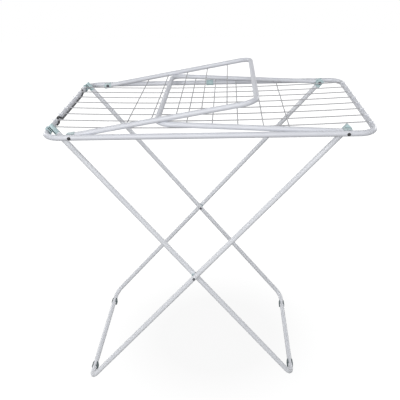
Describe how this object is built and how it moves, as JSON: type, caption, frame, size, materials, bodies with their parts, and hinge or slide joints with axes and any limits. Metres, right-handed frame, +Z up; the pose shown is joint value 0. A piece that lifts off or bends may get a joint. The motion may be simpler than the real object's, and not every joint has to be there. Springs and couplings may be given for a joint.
{
  "type": "clothes drying rack",
  "caption": "Free-standing folding clothes drying rack: a long tube frame strung with wires, hinged wings folded in over it, and crossed tube legs hooked under one end.",
  "frame": {"origin": "on the floor, under the middle of the part's bounding box", "axes": "+X along the rack towards the hinge of the outer legs, +Y towards the back, +Z up"},
  "size_m": [0.9061, 0.577, 0.9729],
  "materials": {
    "frame_paint": "semi-gloss cool white paint",
    "wing_paint": "semi-gloss cool white paint",
    "leg_paint": "semi-gloss cool white paint",
    "wire_coat": "thin light grey coat",
    "teal_plastic": "fine moulded grain",
    "pale_plastic": "fine moulded grain",
    "dark_plastic": "fine moulded grain",
    "black_rivet": "black oxide and lacquer",
    "black_wire": "black lacquer"
  },
  "bodies": {
    "outer_legs": {"outer_leg_tube": "leg_paint", "outer_leg_end_front": "teal_plastic", "outer_leg_end_back": "teal_plastic", "outer_foot_front": "dark_plastic", "outer_foot_back": "dark_plastic", "crossing_spacer_front": "dark_plastic", "crossing_spacer_back": "dark_plastic", "crossing_rivet_front": "black_rivet", "crossing_rivet_back": "black_rivet"},
    "top_frame": {"main_frame_tube": "frame_paint", "frame_joint_sleeve": "teal_plastic", "main_wires": "wire_coat", "side_bar_wire": "black_wire", "hinge_rivet_left_front": "black_rivet", "hinge_rivet_left_back": "black_rivet", "hinge_rivet_right_front": "black_rivet", "hinge_rivet_right_back": "black_rivet"},
    "wing_left": {"wing_left_tube": "wing_paint", "wing_left_wires": "wire_coat", "wing_left_end_front": "pale_plastic", "wing_left_end_back": "pale_plastic"},
    "wing_right": {"wing_right_tube": "wing_paint", "wing_right_wires": "wire_coat", "wing_right_end_front": "pale_plastic", "wing_right_end_back": "pale_plastic"},
    "inner_legs": {"inner_leg_tube": "leg_paint", "leg_hook_front": "teal_plastic", "leg_hook_back": "teal_plastic", "inner_foot_front": "dark_plastic", "inner_foot_back": "dark_plastic"}
  },
  "joints": [
    {"name": "top_lift", "type": "hinge", "parent": "outer_legs", "child": "top_frame", "pos_m": [0.37, 0, 0.88], "axis": [0, 1, 0], "range_deg": [0, 50]},
    {"name": "legs_close", "type": "hinge", "parent": "outer_legs", "child": "inner_legs", "pos_m": [-0.05524, 0, 0.4104], "axis": [0, 1, 0], "range_deg": [0, 80]},
    {"name": "wing_left_open", "type": "hinge", "parent": "top_frame", "child": "wing_left", "pos_m": [-0.37, 0, 0.88], "axis": [0, -1, 0], "range_deg": [0, 153]},
    {"name": "wing_right_open", "type": "hinge", "parent": "top_frame", "child": "wing_right", "pos_m": [0.37, 0, 0.88], "axis": [0, 1, 0], "range_deg": [0, 159]}
  ],
  "couplings": [
    {"joint": "legs_close", "follows": "top_lift", "ratio": 1.6},
    {"joint": "wing_right_open", "follows": "wing_left_open", "ratio": 0.45}
  ]
}
